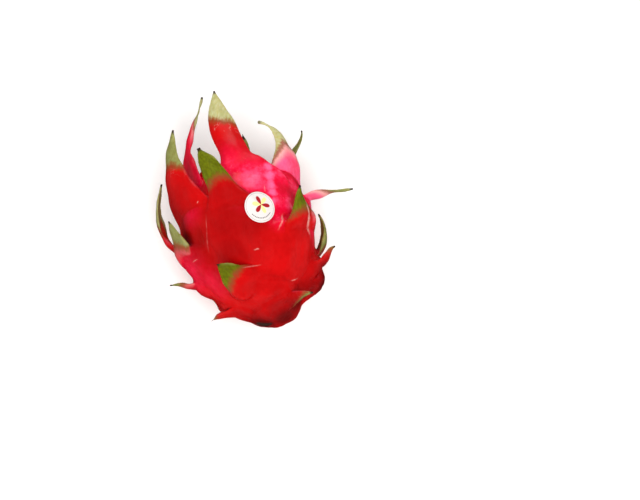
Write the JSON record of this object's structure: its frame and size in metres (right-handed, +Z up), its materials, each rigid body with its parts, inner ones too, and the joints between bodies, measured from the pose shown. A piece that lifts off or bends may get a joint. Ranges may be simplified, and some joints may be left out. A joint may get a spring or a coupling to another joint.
{
  "type": "dragon fruit",
  "caption": "Whole red dragon fruit lying on its side, with long green-tipped scales, a crown round its navel and a small round paper label.",
  "frame": {"origin": "middle of the small flat spot on the belly that the fruit rests on", "axes": "+Y along the fruit's axis from the stem end to the crown, +Z up from the surface it lies on, +X to the right of someone who looks from the stem end to the crown"},
  "size_m": [0.1349, 0.1653, 0.1022],
  "materials": {
    "skin": "waxy fruit skin, deep red to pink, with scales that turn olive green towards dry brown tips",
    "label": "thin coated paper with a small printed pattern"
  },
  "bodies": {
    "root": {"fruit": "skin", "label": "label"}
  },
  "joints": []
}
